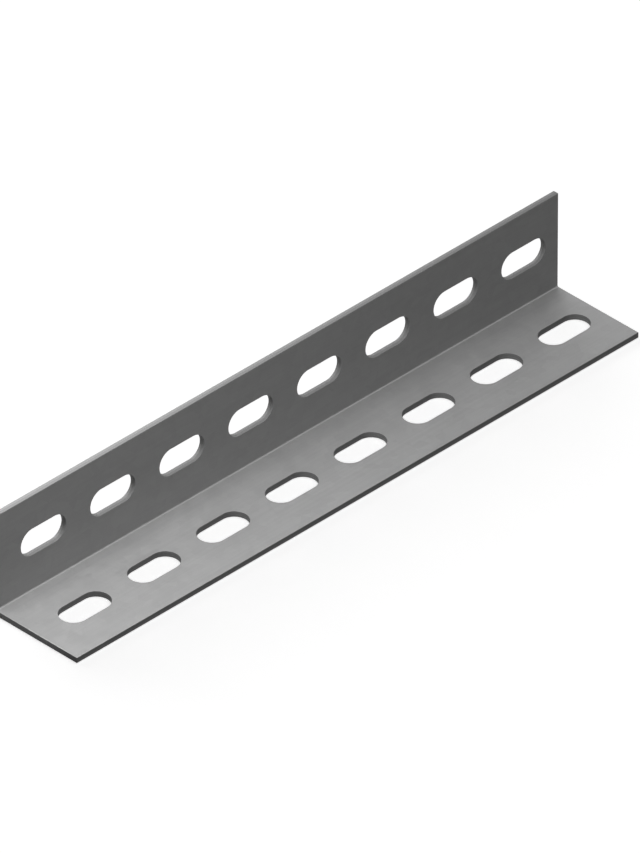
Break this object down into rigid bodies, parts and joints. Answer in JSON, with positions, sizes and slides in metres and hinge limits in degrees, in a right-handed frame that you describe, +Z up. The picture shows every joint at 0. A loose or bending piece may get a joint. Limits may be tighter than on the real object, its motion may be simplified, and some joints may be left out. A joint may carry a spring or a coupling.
{
  "type": "perforated steel angle",
  "caption": "Equal-leg angle folded from steel sheet, with a row of round-ended bolt slots along the middle of each leg.",
  "frame": {"origin": "middle of the footprint, on the plane that the base leg lies on", "axes": "+X along the bar, towards the end that lies half a land beyond its last slot; +Z up along the upright leg; the upright leg's outer face looks to +Y and the base leg's toe to -Y"},
  "size_m": [0.2294, 0.035, 0.035],
  "materials": {
    "galvanised_steel": "hot-dip galvanised sheet, skin-passed to an even satin grey"
  },
  "bodies": {
    "root": {"steel_angle": "galvanised_steel"}
  },
  "joints": []
}
